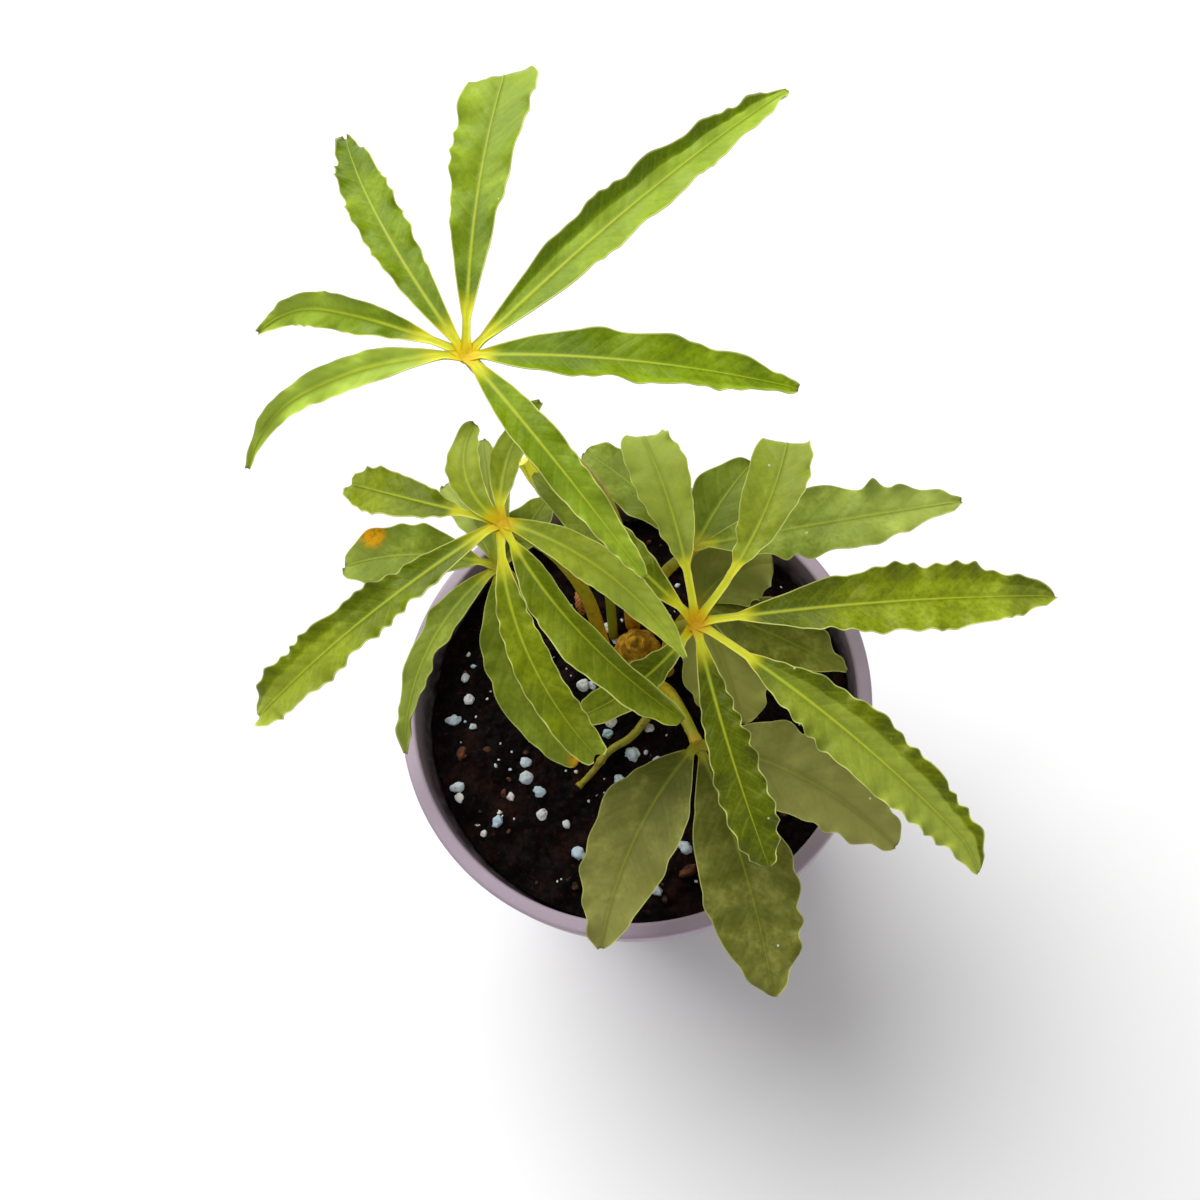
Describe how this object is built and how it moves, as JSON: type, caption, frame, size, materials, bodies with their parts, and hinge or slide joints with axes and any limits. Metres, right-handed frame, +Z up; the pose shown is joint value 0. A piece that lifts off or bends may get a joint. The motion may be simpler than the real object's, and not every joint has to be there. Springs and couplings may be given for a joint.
{
  "type": "potted anthurium",
  "caption": "Young potted anthurium with palmate leaves of narrow waved leaflets, in a round tapered nursery pot of dark soil.",
  "frame": {"origin": "middle of the flat underside of the pot", "axes": "+Z up along the pot's axis, +Y towards the back of the plant, where the highest leaf leans, +X to its right"},
  "size_m": [0.1481, 0.1634, 0.1672],
  "materials": {
    "pot_plastic": "matte moulded polypropylene, lavender grey",
    "peat_soil": "moist fibrous peat with perlite",
    "crown_stem": "satin, tan to green",
    "young_leaf": "satin leaf, yellow green with a pale margin",
    "old_leaf": "satin leaf, olive green",
    "new_leaf": "glossy new leaf, bright yellow green",
    "leaf_stalk": "satin, olive",
    "dry_sheath": "dry papery brown"
  },
  "bodies": {
    "root": {"pot": "pot_plastic", "soil": "peat_soil", "crown": "crown_stem", "leaf_top": "young_leaf", "leaf_left": "young_leaf", "leaf_right": "young_leaf", "leaf_front": "old_leaf", "leaf_middle": "old_leaf", "leaf_back": "old_leaf", "leaf_side": "old_leaf", "leaf_new": "new_leaf", "old_stalk": "leaf_stalk", "dry_sheath": "dry_sheath"}
  },
  "joints": []
}
